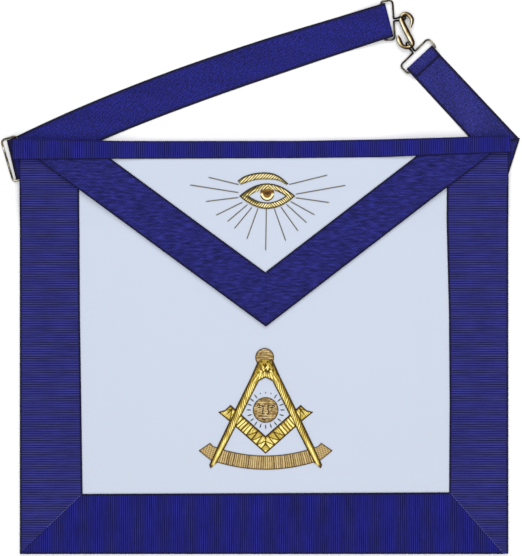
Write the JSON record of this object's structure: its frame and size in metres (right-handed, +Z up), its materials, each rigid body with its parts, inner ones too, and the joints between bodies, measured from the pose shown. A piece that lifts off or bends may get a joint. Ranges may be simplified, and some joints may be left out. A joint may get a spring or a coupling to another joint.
{
  "type": "masonic apron",
  "caption": "White leather apron lying flat with blue ribbon borders, a pointed flap, gold embroidery and a webbing belt joined by a snake hook.",
  "frame": {"origin": "The middle of the outline seen from above, on the surface that the apron lies on.", "axes": "+X to the right of the picture, which is the wearer's left, +Y towards the belt, +Z up out of the apron's front."},
  "size_m": [0.4298, 0.4606, 0.0118],
  "materials": {
    "white_leather": "smooth matt white lambskin with a faint bluish cast",
    "blue_ribbon": "deep royal blue ribbed grosgrain with a soft sheen",
    "blue_webbing": "deep royal blue tightly woven webbing, faint diagonal sheen",
    "gilt_wire": "polished gilt wire and casting with dark hollows",
    "gold_thread": "gold metal thread: bright coiled bullion, laid threads and fine satin stitch"
  },
  "bodies": {
    "root": {"apron_panel": "white_leather", "border_left": "blue_ribbon", "border_right": "blue_ribbon", "border_bottom": "blue_ribbon", "flap_panel": "white_leather", "flap_ribbon_left": "blue_ribbon", "flap_ribbon_right": "blue_ribbon", "top_band": "blue_ribbon", "belt_long": "blue_webbing", "belt_short": "blue_webbing", "adjuster_ring": "gilt_wire", "ring_long_belt": "gilt_wire", "ring_short_belt": "gilt_wire", "snake_hook": "gilt_wire", "eye_brow": "gold_thread", "eye_lids": "gold_thread", "eye_iris": "gold_thread", "compass_head": "gold_thread", "compass_legs": "gold_thread", "square": "gold_thread", "quadrant": "gold_thread", "sun": "gold_thread"}
  },
  "joints": []
}
